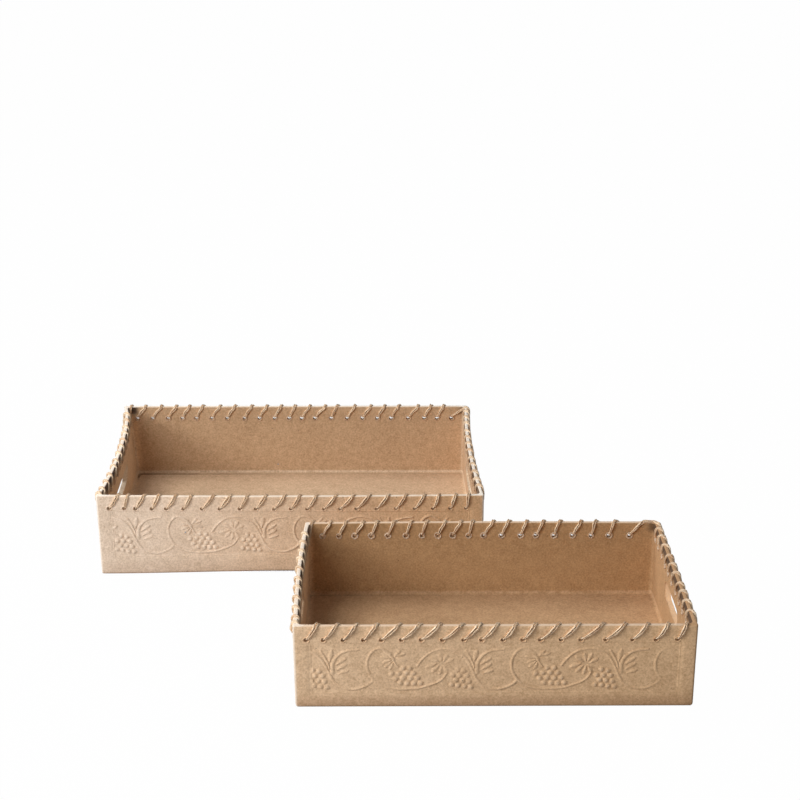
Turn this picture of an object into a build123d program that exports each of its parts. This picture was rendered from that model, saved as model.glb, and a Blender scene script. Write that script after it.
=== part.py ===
from build123d import *
import os
from dataclasses import dataclass
from math import sqrt

# Two open trays of glued board, a large one and a small one, standing apart on one surface.
# Each is a single shell with a floor, four low walls and a hand slot in either end wall.
# One lace per tray is stitched through holes below the rim and over it, all the way round.
# Sizes are in millimetres. X runs along the long walls, Y towards the back, Z up.

# Board, its folds and its edges
board = 4.0             # thickness of the walls and of the floor
outer_corner = 3.0      # radius of the upright corners, outside
inner_corner = 4.0      # radius of the upright corners, inside
base_bevel = 1.2        # worn edge underneath
rim_bevel = 0.7         # worn edges of the rim, inside and outside
floor_strip = 2.4       # glued paper strip that softens the corner between floor and walls
foot_height = 12.0      # the walls are straight up to here, and bow above it

# Pressed panel on each front wall, where the scroll lies
panel_depth = 0.4
panel_height = 49.0
panel_drop = 17.4       # from the rim down to the panel's upper edge
panel_margin = 13.0     # from either end of the wall to the panel

# Large tray
large_length = 380.0
large_width = 240.0
large_height = 84.0
large_left_bow = -5.0   # how far the rim of the left end stands out in its middle
large_right_bow = -4.3
large_front_bow = 2.5
large_slot_length = 90.0
large_slot_height = 19.0
large_slot_middle = 40.5    # height of the hand slot's middle line

# Small tray
small_length = 345.0
small_width = 207.0
small_height = 80.0
small_left_bow = 3.0
small_right_bow = 0.0
small_back_bow = 1.5
small_slot_length = 69.0
small_slot_height = 17.0
small_slot_middle = 45.5

# How the small tray stands in front of the large one
tray_gap = 51.5         # from the small tray's back wall to the large tray's front wall
tray_shift = 186.6      # from the large tray's middle to the small tray's, along X

# Lace, a six-sided cord, and its holes
lace_width = 3.0        # across its corners
lace_clearance = 0.25   # between the lace and the board
hole_clearance = 0.5    # between the lace and its hole
hole_drop = 14.6        # from the rim down to the middle of the holes
stitch_lean = 0.56      # how far towards the next hole a stitch crosses the rim
lace_end = 4.0          # how far the cut ends stand off the board

# Spacings along each wall from corner to corner, as the holes were punched by hand.
# They are shared out over the wall's length, and run anticlockwise seen from above.
large_front_spacings = (12, 14.5, 11, 16, 14, 17, 18, 17.5, 19.5, 16, 18, 16.5, 16, 16.5, 16, 16, 20, 19,
                        18.5, 18, 17, 15.5, 17.5)
large_back_spacings = (18, 16, 14.5, 18, 19, 15.5, 17, 17, 18, 18, 15, 14, 16.5, 17, 16.5, 19.5, 17, 17,
                       15.5, 15.5, 17, 16, 12.5)
large_end_spacings = (13, 18, 17, 19, 18, 17, 19, 18, 17, 18, 19, 17, 18, 12)
small_front_spacings = (11, 14.5, 16.5, 17.5, 15, 17, 17, 18, 18, 15.5, 18, 17, 15, 17.5, 17, 21, 23, 20,
                        18.5, 17)
small_back_spacings = (28, 20, 17.5, 18, 18, 17.5, 15, 18.5, 17.5, 14.5, 15.5, 14.5, 15.5, 15.5, 17.5,
                       16, 16, 15.5, 16, 17)
small_end_spacings = (13, 18, 19, 17, 18, 19, 18, 17, 19, 18, 17, 12)


@dataclass
class Tray:
    """The sizes of one tray, with its walls in anticlockwise order: front, right, back, left."""
    length: float
    width: float
    height: float
    bows: tuple
    spacings: tuple
    slot: tuple


large = Tray(
    large_length, large_width, large_height,
    bows=(large_front_bow, large_right_bow, 0, large_left_bow),
    spacings=(large_front_spacings, large_end_spacings, large_back_spacings, large_end_spacings),
    slot=(large_slot_length, large_slot_height, large_slot_middle),
)
small = Tray(
    small_length, small_width, small_height,
    bows=(0, small_right_bow, small_back_bow, small_left_bow),
    spacings=(small_front_spacings, small_end_spacings, small_back_spacings, small_end_spacings),
    slot=(small_slot_length, small_slot_height, small_slot_middle),
)
FRONT, RIGHT, BACK, LEFT = range(4)


def wall_frame(tray, wall):
    """A wall's first corner, its direction, its outward normal and its length."""
    run = tray.length if wall in (FRONT, BACK) else tray.width
    depth = tray.width if wall in (FRONT, BACK) else tray.length
    direction = Vector(1, 0, 0).rotate(Axis.Z, 90 * wall)
    outward = Vector(0, -1, 0).rotate(Axis.Z, 90 * wall)
    corner = outward * (depth / 2) - direction * (run / 2)
    return corner, direction, outward, run


def bow_share(tray, height):
    """How much of its bow a wall has at one height: none in the foot, all of it at the rim."""
    return max(height - foot_height, 0) / (tray.height - foot_height)


def wall_point(tray, wall, along, height, out):
    """A point beside a wall: along it from its first corner, up, and out from its outer face."""
    corner, direction, outward, run = wall_frame(tray, wall)
    bow_end = board + inner_corner if out < 0 else outer_corner
    middle_share = 1 - ((along - run / 2) / (run / 2 - bow_end)) ** 2
    bow = tray.bows[wall] * max(middle_share, 0) * bow_share(tray, height)
    return corner + direction * along + outward * (bow + out) + Vector(0, 0, height)


def outline(tray, inset, corner_radius, height):
    """A tray's closed outline at one height: four walls with their bows, and round corners."""
    edges = Curve()
    for wall in range(4):
        corner, direction, outward, run = wall_frame(tray, wall)
        inner = corner - outward * inset
        start = inner + direction * (inset + corner_radius)
        end = inner + direction * (run - inset - corner_radius)
        bow = tray.bows[wall] * bow_share(tray, height)
        middle = (start + end) / 2 + outward * bow
        edges += ThreePointArc(start, middle, end) if bow else Line(start, end)
        centre = end - outward * corner_radius
        edges += CenterArc(centre, corner_radius, 90 * (wall - 1), 90)
    return Pos(0, 0, height) * make_face(edges)


def outer_shape(tray):
    """The tray's outside as one solid block: bevelled base, straight foot, bowed walls, worn rim."""
    sections = (
        (base_bevel, 0),
        (0, base_bevel),
        (0, foot_height),
        (0, tray.height - rim_bevel),
        (rim_bevel, tray.height),
    )
    return loft([outline(tray, inset, outer_corner - inset, height) for inset, height in sections], ruled=True)


def cavity_shape(tray):
    """The hollow of the tray, up through its rim: the strip round the floor, then parallel walls."""
    strip_middle = floor_strip * (1 - sqrt(0.5))
    sections = (
        (board + floor_strip, board),
        (board + strip_middle, board + strip_middle),
        (board, board + floor_strip),
        (board, foot_height),
        (board, tray.height - rim_bevel),
        (board - rim_bevel, tray.height),
        (board - rim_bevel, tray.height + board),
    )
    round_off = inner_corner + board
    return loft([outline(tray, inset, round_off - inset, height) for inset, height in sections], ruled=True)


def hole_places(tray, wall):
    """How far along its wall each lace hole lies."""
    spacings = tray.spacings[wall]
    share = wall_frame(tray, wall)[3] / sum(spacings)
    places = []
    along = 0
    for spacing in spacings[:-1]:
        along += spacing * share
        places.append(along)
    return places


def hole_cutters(tray):
    """One eight-sided cutter through the wall at each lace hole, as an awl leaves it."""
    section = RegularPolygon(lace_width / 2 + hole_clearance, 8)
    cutters = []
    for wall in range(4):
        outward = wall_frame(tray, wall)[2]
        for along in hole_places(tray, wall):
            middle = wall_point(tray, wall, along, tray.height - hole_drop, -board / 2)
            cutters.append(extrude(Plane(middle, z_dir=outward) * section, board, both=True))
    return cutters


def panel_cutter(tray, outside):
    """The block that presses the scroll's panel into the front wall, equally deep along its bow."""
    middle_height = tray.height - panel_drop - panel_height / 2
    block = Box(tray.length - 2 * panel_margin, 2 * board, panel_height)
    return Pos(0, -tray.width / 2, middle_height) * block - Pos(0, panel_depth, 0) * outside


def slot_cutter(tray):
    """The long round-ended bar that opens the hand slots in both end walls at once."""
    slot_length, slot_height, slot_middle = tray.slot
    bar = extrude(Plane.YZ * SlotOverall(slot_length, slot_height), tray.length, both=True)
    return Pos(0, 0, slot_middle) * bar


def make_body(tray):
    """The board shell: floor and walls in one, with its panel, hand slots and lace holes."""
    outside = outer_shape(tray)
    shell = outside - cavity_shape(tray)
    return shell - panel_cutter(tray, outside) - slot_cutter(tray) - hole_cutters(tray)


def lace_route(tray):
    """The lace's middle line: out through a hole, up, over the rim and down inside to the next."""
    off = lace_width / 2 + lace_clearance
    hole_height = tray.height - hole_drop
    over_rim = tray.height + off
    corner_room = board + 2 * off
    points = [wall_point(tray, LEFT, hole_places(tray, LEFT)[0], hole_height, -board - off - lace_end)]
    for wall in (LEFT, FRONT, RIGHT, BACK):
        run = wall_frame(tray, wall)[3]
        places = hole_places(tray, wall)
        for here, there in zip(places, places[1:] + [run]):
            crossing = min(here + stitch_lean * (there - here), run - corner_room)
            if points[1:]:
                points.append(wall_point(tray, wall, here, hole_height, -board - off))
            points.append(wall_point(tray, wall, here, hole_height, off))
            points.append(wall_point(tray, wall, crossing, over_rim, off))
            points.append(wall_point(tray, wall, crossing, over_rim, -board - off))
    points.append(wall_point(tray, LEFT, corner_room, hole_height, -board - off))
    return points


def make_lace(tray):
    """One six-sided cord, mitred at every turn, along the whole route."""
    path = Polyline(*lace_route(tray))
    section = Plane(origin=path @ 0, z_dir=path % 0) * RegularPolygon(lace_width / 2, 6)
    return sweep(section, path=path, transition=Transition.RIGHT)


# Both trays in one frame, centred over the ground that they cover
small_place = Pos(tray_shift, -(large_width / 2 + tray_gap + small_width / 2), 0)
parts = {
    "large_tray": make_body(large),
    "large_tray_lace": make_lace(large),
    "small_tray": small_place * make_body(small),
    "small_tray_lace": small_place * make_lace(small),
}
box = Compound(list(parts.values())).bounding_box()
to_origin = Pos(-box.center().X, -box.center().Y, -box.min.Z)

os.makedirs("parts", exist_ok=True)
for name, part in parts.items():
    export_step(to_origin * part, f"parts/{name}.step")
for tray_name, tray in (("large", large), ("small", small)):
    print(tray_name, "lace length", round(Polyline(*lace_route(tray)).length), "mm")
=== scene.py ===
# %% [markdown]
# # Two laced trays of pressed board
# A large tray and a small one stand on a white table. Each is a shell of brown paper board with
# a pale twisted paper lace stitched over its rim, and a grapevine pressed into its front wall.
# This file dresses the measured CAD model: the CAD says where everything is, and here each
# visible surface gets the shape and finish of the real one. Blender works in metres.

# %% The tools and the measured frame
import random
from dataclasses import dataclass
from math import cos, pi, sin

import bpy
import numpy as np
from mathutils import Matrix, Vector


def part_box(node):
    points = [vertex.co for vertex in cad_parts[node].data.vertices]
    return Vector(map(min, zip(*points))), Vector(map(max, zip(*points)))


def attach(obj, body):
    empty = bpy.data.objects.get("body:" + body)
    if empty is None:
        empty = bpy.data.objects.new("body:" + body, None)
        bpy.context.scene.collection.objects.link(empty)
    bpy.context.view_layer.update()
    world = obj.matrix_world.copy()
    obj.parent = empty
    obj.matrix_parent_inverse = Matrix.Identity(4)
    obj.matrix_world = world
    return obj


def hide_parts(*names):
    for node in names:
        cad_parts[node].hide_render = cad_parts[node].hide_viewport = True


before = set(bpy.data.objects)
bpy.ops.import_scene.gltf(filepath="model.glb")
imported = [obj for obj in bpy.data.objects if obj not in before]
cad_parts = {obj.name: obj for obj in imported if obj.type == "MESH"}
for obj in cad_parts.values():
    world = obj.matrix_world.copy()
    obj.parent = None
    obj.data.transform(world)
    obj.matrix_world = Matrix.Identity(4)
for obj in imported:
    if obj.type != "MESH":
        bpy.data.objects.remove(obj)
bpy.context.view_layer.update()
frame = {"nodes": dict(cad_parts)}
mm = 0.001
print("nodes:", ", ".join(frame["nodes"]))

# %% [markdown]
# ## The camera
# A photograph is matched by standing where the photographer stood. The rims of both trays gave the
# place and the three turns of the camera, and a long lens, about 80 mm on a full frame, keeps the
# far tray nearly as large as the near one. The three axes of the camera are written as vectors,
# because that shows plainly what each turn does.

# %% Camera
camera_place = Vector((0.00346, -1.60357, 0.82047))
camera_pitch = 0.37536      # below the horizon
camera_yaw = -0.01162
camera_roll = -0.00279
sensor_width = 36           # of a full frame, in mm
lens_length = 81

forward = Vector((
    -sin(camera_yaw) * cos(camera_pitch),
    cos(camera_yaw) * cos(camera_pitch),
    -sin(camera_pitch),
))
level_right = Vector((cos(camera_yaw), sin(camera_yaw), 0))
level_down = forward.cross(level_right)
camera_right = level_right * cos(camera_roll) + level_down * sin(camera_roll)
camera_down = level_down * cos(camera_roll) - level_right * sin(camera_roll)

camera_data = bpy.data.cameras.new("camera")
camera_data.sensor_width = sensor_width
camera_data.lens = lens_length
camera = bpy.data.objects.new("camera", camera_data)
turn = Matrix((camera_right, -camera_down, -forward)).transposed()
camera.matrix_world = Matrix.Translation(camera_place) @ turn.to_4x4()
bpy.context.scene.collection.objects.link(camera)
bpy.context.scene.camera = camera
print("camera looks along", [round(part, 3) for part in forward])

# %% [markdown]
# ## Sizes of the trays
# The visual model repeats the sizes that the CAD was made from, in millimetres, because the lace,
# its holes and the wall that they pierce all have to agree. Where the real trays differ from the
# plain form, a size differs a little here: the holes and the panel's upper edge lie higher and the
# upright corners are sharper. The walls run anticlockwise seen from above: front, right, back,
# left. A bow says how far the middle of a rim stands out, and a minus says that it sinks in. The
# spacings are those of holes punched by hand, so no two are the same.

# %% Sizes shared by both trays
board = 4.0             # thickness of the walls and of the floor
outer_corner = 2.0      # radius of the upright corners, outside
inner_corner = 4.0      # and inside
foot_height = 12.0      # the walls bow above this height
floor_strip = 2.4       # radius of the glued strip where floor and walls meet
panel_height = 51.5
panel_drop = 14.9       # from the rim down to the panel's upper edge
panel_margin = 13.0     # from either end of the wall to the panel
hole_drop = 13.4        # from the rim down to the middle of the holes
FRONT, RIGHT, BACK, LEFT = range(4)


@dataclass
class Tray:
    """One tray: its sizes, its stitches, and where it stands."""
    name: str
    length: float
    width: float
    height: float
    bows: tuple
    slot: tuple             # length, height and height of the middle line
    spacings: tuple         # between holes, wall by wall, from corner to corner
    leans: tuple            # how far along to the next hole each stitch crosses the rim
    back_lean: float        # the same for the back wall, where they were all much alike
    scroll_start: float     # from the left end of the front wall to the first crossing of the vine
    drifts: tuple           # how far the back corners stand to the right: floor and rim, left and right
    flares: tuple           # how far the lace pulls the left corners of the rim out: front and back
    foot_bow: float         # how far the front wall's foot stands in at its middle and out at its ends
    relief: float           # how strongly the panel came out
    faint_end: float        # how far from the panel's right end it came out only faintly
    base_round: float       # radius of the worn edge underneath
    seed: int               # of everything that is drawn at random
    centre: np.ndarray = None


# %% The two trays
large_ends = (13, 18, 17, 19, 18, 17, 19, 18, 17, 18, 19, 17, 18, 12)
small_ends = (13, 18, 19, 17, 18, 19, 18, 17, 19, 18, 17, 12)

large = Tray(
    "large_tray", 380, 240, 84,
    bows=(2.5, -4.3, 0, -5.0),
    slot=(90, 19, 40.5),
    spacings=(
        (12, 14.5, 11, 16, 14, 17, 18, 17.5, 19.5, 16, 18, 16.5,
         16, 16.5, 16, 16, 20, 19, 18.5, 18, 17, 15.5, 17.5),
        large_ends,
        (18, 16, 14.5, 18, 19, 15.5, 17, 17, 18, 18, 15, 14,
         16.5, 17, 16.5, 19.5, 17, 17, 15.5, 15.5, 17, 16, 12.5),
        large_ends,
    ),
    leans=(
        (0.64, 0.39, 0.56, 0.52, 0.58, 0.43, 0.65, 0.54, 0.48, 0.54, 0.63,
         0.54, 0.54, 0.73, 0.79, 0.62, 0.58, 0.51, 0.52, 0.33, 0.33, 0.15),
        (), (), (),
    ),
    back_lean=0.46,
    scroll_start=37.5,
    drifts=((2.8, -1.0), (-6.0, -5.6)),
    flares=(2.0, 4.2),
    foot_bow=2.8,
    relief=1.45,
    faint_end=0.0,
    base_round=1.4,
    seed=11,
)
small = Tray(
    "small_tray", 345, 207, 80,
    bows=(0, 0, 1.5, 3.0),
    slot=(69, 17, 45.5),
    spacings=(
        (11, 14.5, 16.5, 17.5, 15, 17, 17, 18, 18, 15.5,
         18, 17, 15, 17.5, 17, 21, 23, 20, 18.5, 17),
        small_ends,
        (28, 20, 17.5, 18, 18, 17.5, 15, 18.5, 17.5, 14.5,
         15.5, 14.5, 15.5, 15.5, 17.5, 16, 16, 15.5, 16, 17),
        small_ends,
    ),
    leans=(
        (0.64, 0.69, 0.63, 0.72, 0.86, 0.88, 0.84, 0.88, 0.86, 0.7,
         0.62, 0.67, 0.84, 0.83, 0.84, 0.68, 0.61, 0.52, 0.41),
        (), (), (),
    ),
    back_lean=0.6,
    scroll_start=31.5,
    drifts=((0, 1.8), (-3.4, -4.6)),
    flares=(1.5, 0.0),
    foot_bow=0.0,
    relief=1.05,
    faint_end=26.0,
    base_round=3.2,
    seed=5,
)
trays = (large, small)

for tray in trays:
    low, high = (np.array(corner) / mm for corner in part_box(tray.name))
    right_bow = max(tray.bows[RIGHT], 0)
    back_bow = max(tray.bows[BACK], 0)
    tray.centre = high * (1, 1, 0) - (right_bow + tray.length / 2, back_bow + tray.width / 2, 0)
    print(tray.name, "stands at", tray.centre.round(1), "mm")

# %% [markdown]
# ## Where a wall is
# Everything on a tray is placed by three numbers: how far along a wall, how high, and how far out
# from its outer face. One function turns those into a point, with the wall's bow in it, so a hole,
# its torn edge and the lace in it can't part. Trays made by hand aren't quite true either. The
# back corners of these stand a few millimetres to one side, the lace pulls the left corners of the
# rim out, and the foot of the large front wall is curved. A second function gives that drift.

# %% Points beside a wall
pull_power = 8          # how quickly the pull of the lace fades away from a corner


def wall_frame(tray, wall):
    """A wall's first corner, its direction, its outward normal and its length."""
    run = tray.length if wall in (FRONT, BACK) else tray.width
    depth = tray.width if wall in (FRONT, BACK) else tray.length
    direction = np.array(((1, 0, 0), (0, 1, 0), (-1, 0, 0), (0, -1, 0))[wall], dtype=float)
    outward = np.array(((0, -1, 0), (1, 0, 0), (0, 1, 0), (-1, 0, 0))[wall], dtype=float)
    corner = tray.centre + outward * (depth / 2) - direction * (run / 2)
    return corner, direction, outward, run


def bow_share(tray, height):
    """How much of its bow a wall has at one height: none in the foot, all of it at the rim."""
    return max(height - foot_height, 0) / (tray.height - foot_height)


def drift(tray, points):
    """How far the hand-made shape stands from the true one, for points in mm."""
    points = np.asarray(points)
    back = (points[..., 1] - tray.centre[1]) / tray.width + 0.5
    right = (points[..., 0] - tray.centre[0]) / tray.length + 0.5
    rise = np.clip(points[..., 2] / tray.height, 0, 1)
    left_drift, right_drift = (floor + (rim - floor) * rise for floor, rim in tray.drifts)
    shift = np.clip(back, 0, 1) * (left_drift + (right_drift - left_drift) * right)
    front_flare, back_flare = tray.flares
    pulled = front_flare * np.clip(1 - back, 0, 1) ** pull_power
    pulled = pulled + back_flare * np.clip(back, 0, 1) ** pull_power
    shift = shift - pulled * rise * np.clip(1 - right, 0, 1) ** pull_power
    swing = -tray.foot_bow * np.cos(2 * pi * right) * (1 - rise) * np.clip(1 - back, 0, 1)
    return np.stack((shift, swing, np.zeros_like(shift)), axis=-1)


def wall_point(tray, wall, along, height, out):
    """A point along a wall from its first corner, up, and out from its outer face, in mm."""
    corner, direction, outward, run = wall_frame(tray, wall)
    middle_share = max(1 - ((along - run / 2) / (run / 2 - board - inner_corner)) ** 2, 0)
    bow = tray.bows[wall] * middle_share * bow_share(tray, height)
    point = corner + direction * along + outward * (bow + out) + np.array((0, 0, height))
    return point + drift(tray, point)


def hole_places(tray, wall):
    """How far along its wall each lace hole lies."""
    spacings = np.array(tray.spacings[wall], dtype=float)
    return np.cumsum(spacings[:-1]) * wall_frame(tray, wall)[3] / spacings.sum()


for tray in trays:
    print(tray.name, "has", sum(len(hole_places(tray, wall)) for wall in range(4)), "lace holes")

# %% [markdown]
# ## The grapevine
# The front walls carry a grapevine in low relief, a millimetre or two high, pressed in with a
# carved plate that repeats every 124 mm. It could be painted on as bump, but then its edge would
# vanish from the side and from the exported mesh. Here it is real height: every line is a soft
# ridge round a curve, every grape a small dome, and every leaf a fan of long fat petals. The
# pattern is written once, in millimetres right of the vine's crossing and up from the panel's
# lower edge.

# %% The scroll's drawing, one repeat
repeat = 124.0
vines = (       # each with its half width at the start and at the end
    (((-50, 28), (-46, 34), (-39.5, 40), (-33, 43), (-25, 44), (-17.5, 42), (-12.5, 39),
      (-8.3, 34.5), (-5, 28.7), (-2.2, 22), (0.7, 15.2), (4, 10.4), (9, 6.6), (15.5, 4.7),
      (21, 4.7), (27, 6.6), (32, 9.5), (36.5, 13.8)),
     1.2, 1.4),
    (((53.5, 34), (49.7, 39.3), (45.6, 43), (41.5, 44.6), (37.2, 43.2), (33.8, 39.5),
      (31.2, 33.5), (30.8, 26.8), (32.5, 20.5), (36.5, 13.8), (41, 9.5), (47, 6.6), (54, 5.1),
      (62.3, 4.6), (74.6, 5.6), (82.8, 8), (91, 11.4), (96, 15.2), (99.5, 21)),
     1.5, 1.1),
    (((1.2, 21), (1.3, 28), (3, 33.5), (6, 37.6), (10.5, 41), (17, 42.8), (24, 43.4)), 2.1, 0.9),
    (((-1.2, 25), (-2.2, 29.5), (-5, 36), (-8.5, 42)), 0.7, 1.2),
    (((52.5, 35), (54.5, 31), (57.5, 26.5)), 0.9, 0.8),
    (((96.5, 28), (102.5, 25.5), (108, 21.5)), 0.9, 0.8),
)
petals = (      # base, tip and half width
    ((-1.2, 32), (0.8, 42.5), 2.0), ((4.4, 28.9), (12.4, 34.8), 1.7), ((5.4, 24), (13, 29.2), 1.7),
    ((6.4, 20), (14.5, 23), 1.6),
    ((54.5, 36.8), (58.6, 41.8), 1.8), ((52, 37.6), (48.6, 41), 1.5), ((50.5, 34.8), (43, 36.4), 1.3),
    ((50.8, 33.2), (44.8, 30.6), 1.6), ((51.6, 31.8), (46.6, 26.6), 1.7), ((53, 30.6), (50.5, 24.8), 1.6),
    ((56.5, 35.2), (64, 33), 1.4), ((57, 37.5), (63, 39.5), 1.3),
    ((91.8, 31.6), (86.3, 36), 2.0), ((94.8, 32.4), (93.2, 39), 1.9), ((96.4, 32), (99.5, 38.2), 1.9),
    ((98.4, 30.4), (104.5, 34), 1.7), ((90.2, 29.6), (82, 26.2), 2.0), ((92.2, 27.6), (87, 21.8), 1.9),
    ((94.8, 26.6), (93.2, 19.8), 1.7), ((97, 27), (99.6, 21.6), 1.5),
)
grapes = (
    (-15.5, 23.7), (-10.3, 22.3), (-19.6, 18.3), (-13.8, 18), (-7.4, 17.8), (-16.8, 13.2),
    (-11, 12.9), (-5.8, 12), (-20.5, 9), (-14.9, 8.3), (-9.2, 7.3), (-3.8, 6.6),
    (61.5, 25.3), (67.6, 25.3), (51.8, 20), (57.9, 20.4), (64.5, 20.6), (70.8, 20.4), (55.4, 15),
    (61.8, 15.6), (68, 15.2), (74.2, 15.6), (59.3, 10.8), (65.4, 10.4), (71.1, 10.4), (76.8, 10.5),
)
grape_size = 2.7        # radius of a grape
vine_height = 0.7       # all three in shares of the relief
petal_height = 0.7
grape_height = 1.15
print(len(vines), "vines,", len(petals), "petals and", len(grapes), "grapes in one repeat")

# %% Lines and domes


def smooth_line(points, steps=6):
    """A rounder line through the same points, with a few more between each pair."""
    knots = np.array(points, dtype=float)
    padded = np.vstack((2 * knots[0] - knots[1], knots, 2 * knots[-1] - knots[-2]))
    line = []
    for before, start, end, after in zip(padded, padded[1:], padded[2:], padded[3:]):
        for share in np.arange(steps) / steps:
            line.append(0.5 * (2 * start + (end - before) * share
                               + (2 * before - 5 * start + 4 * end - after) * share ** 2
                               + (3 * start - before - 3 * end + after) * share ** 3))
    return np.array(line + [knots[-1]])


def soft_dome(distance):
    """One at a distance of nought, and a smooth fall to nothing at one."""
    return np.cos(np.clip(distance, 0, 1) * pi / 2) ** 2


def full_dome(distance):
    """One at a distance of nought, and a fall to nothing at one that is steepest at the foot."""
    return 1 - np.clip(distance, 0, 1) ** 2


def from_line(across, up, start, end):
    """The distance of each place from one straight piece, and how far along it the nearest point is."""
    run = end - start
    share = ((across - start[0]) * run[0] + (up - start[1]) * run[1]) / max(run @ run, 1e-9)
    share = np.clip(share, 0, 1)
    return np.hypot(across - start[0] - share * run[0], up - start[1] - share * run[1]), share


# %% Heights from the drawing


def scroll_height(across, up):
    """The height of the scroll in shares of its full relief, for places measured from a crossing."""
    height = np.zeros_like(across)
    for points, first_width, last_width in vines:
        line = smooth_line(points)
        widths = np.linspace(first_width, last_width, len(line))
        for start, end, half_width in zip(line, line[1:], widths):
            gap, _ = from_line(across, up, start, end)
            height = np.maximum(height, vine_height * full_dome(gap / half_width))
    for base, tip, half_width in petals:
        gap, share = from_line(across, up, np.array(base), np.array(tip))
        fatness = half_width * (0.35 + 0.9 * np.sin(0.9 * pi * share ** 1.4))
        height = np.maximum(height, petal_height * full_dome(gap / fatness))
    for grape in grapes:
        gap = np.hypot(across - grape[0], up - grape[1]) / grape_size
        height = np.maximum(height, grape_height * full_dome(gap))
    return height


# %% [markdown]
# ## The board shell
# The real tray is one skin of board, bent up and glued. Its mesh is made the same way, as one skin
# that runs from under the tray up the outside, over the worn rim, down the inside and across the
# floor. Rings round the tray are stacked along that path and joined with faces, which gives clean
# rows, an even wall and no hidden shapes. Only the panel with the scroll needs small faces, so a
# fine grid is let into the front wall there, sewn to its coarser neighbours along its border.

# %% Rings round a tray
corner_steps = 5
cell = 4.0              # about how long a face is
fine_steps = 7          # how many faces of the panel's grid lie along one face of the wall
rim_round = 1.1
least_corner = 0.3      # the corners' smallest radius, under a well rounded base


def spread(start, end, size):
    """Even places from start to end, about size apart."""
    return np.linspace(start, end, max(round((end - start) / size), 1) + 1)


def wall_columns(tray, wall):
    """Where the rings' points lie along a wall's outer face, in mm from its first corner."""
    run = wall_frame(tray, wall)[3]
    if wall in (FRONT, BACK):
        near = spread(outer_corner, panel_margin, cell)
        middle = spread(panel_margin, run - panel_margin, cell)
        return np.concatenate((near, middle[1:-1], run - near[::-1]))
    return spread(outer_corner, run - outer_corner, cell)


def ring(tray, inset, radius, height):
    """One closed loop of points round the tray, inset from its outer face, with round corners."""
    points = []
    reach = inset + radius
    for wall in range(4):
        corner, direction, outward, run = wall_frame(tray, wall)
        columns = wall_columns(tray, wall)
        for share in (columns - columns[0]) / (columns[-1] - columns[0]):
            bow = tray.bows[wall] * bow_share(tray, height) * 4 * share * (1 - share)
            along = reach + (run - 2 * reach) * share
            points.append(corner + direction * along + outward * (bow - inset))
        centre = corner + direction * (run - reach) - outward * reach
        for step in range(1, corner_steps):
            angle = step / corner_steps * pi / 2
            points.append(centre + radius * (outward * cos(angle) + direction * sin(angle)))
    points = np.array(points) + np.array((0, 0, height))
    return points + drift(tray, points)


# %% The path of the skin


def shell_sections(tray):
    """The path of the skin: inset, corner radius and height of each ring, from below to the floor."""
    top = tray.height
    panel_top = top - panel_drop
    sections = []
    for angle in np.linspace(-pi / 2, 0, 4):
        inset = tray.base_round * (1 - cos(angle))
        sections.append((inset, max(outer_corner - inset, least_corner), tray.base_round * (1 + sin(angle))))
    outer_heights = np.concatenate((
        spread(tray.base_round, panel_top - panel_height, cell)[1:],
        spread(panel_top - panel_height, panel_top, cell)[1:],
        [panel_top + 0.5],
        spread(panel_top + 0.5, top - rim_round, cell)[1:],
    ))
    sections += [(0, outer_corner, height) for height in outer_heights]
    for angle in np.linspace(0, pi / 2, 5)[1:]:
        inset = rim_round * (1 - cos(angle))
        sections.append((inset, outer_corner - inset, top - rim_round * (1 - sin(angle))))
    inner_round = inner_corner + board
    for angle in np.linspace(pi / 2, 0, 5):
        inset = board - rim_round * (1 - cos(angle))
        sections.append((inset, inner_round - inset, top - rim_round * (1 - sin(angle))))
    strip_top = board + floor_strip
    for height in spread(strip_top, top - rim_round, cell)[::-1][1:-1]:
        sections.append((board, inner_corner, height))
    for angle in np.linspace(0, pi / 2, 5):
        inset = board + floor_strip * (1 - cos(angle))
        sections.append((inset, inner_round - inset, board + floor_strip * (1 - sin(angle))))
    return sections


# %% The panel
press_depth = 0.45      # how deep the plate pressed the panel in
press_slope = 0.9       # how wide the slope at the panel's edge is
border_height = 0.38    # of the thin raised line just inside the edge
border_inset = 1.3
scroll_inset = 1.6      # the scroll starts here, and is whole scroll_rise further in
scroll_rise = 1.2
faint_run = 12.0        # over what length the scroll grows faint
faint_share = 0.3       # how much of it is left there


def panel_relief(tray, along, up):
    """How far the panel's face stands out from the wall, in mm: pressed in, with the scroll on it."""
    length = tray.length - 2 * panel_margin
    edge = np.minimum(np.minimum(along, length - along), np.minimum(up, panel_height - up))
    slope = np.clip(edge / press_slope, 0, 1)
    pressed = press_depth * slope ** 2 * (3 - 2 * slope)
    border = border_height * soft_dome(np.abs(edge - border_inset))
    scroll = np.zeros_like(along)
    crossing = tray.scroll_start - panel_margin - repeat
    while crossing < length + repeat:
        scroll = np.maximum(scroll, scroll_height(along - crossing, up))
        crossing += repeat
    inside_border = np.clip((edge - scroll_inset) / scroll_rise, 0, 1)
    strength = 0.95 + 0.3 * np.sin(along / 19 + tray.seed) * np.cos(along / 31 + up / 14)
    from_faint = (length - along - tray.faint_end + faint_run) / faint_run
    strength = strength * np.clip(from_faint, faint_share, 1)
    return tray.relief * (border + strength * scroll * inside_border) - pressed


# %% The panel's fine grid


@dataclass
class Panel:
    """Between which rows and columns of the skin the panel lies, and the numbers of its points."""
    first_row: int
    last_row: int
    first_column: int
    last_column: int
    numbers: np.ndarray = None


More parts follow.
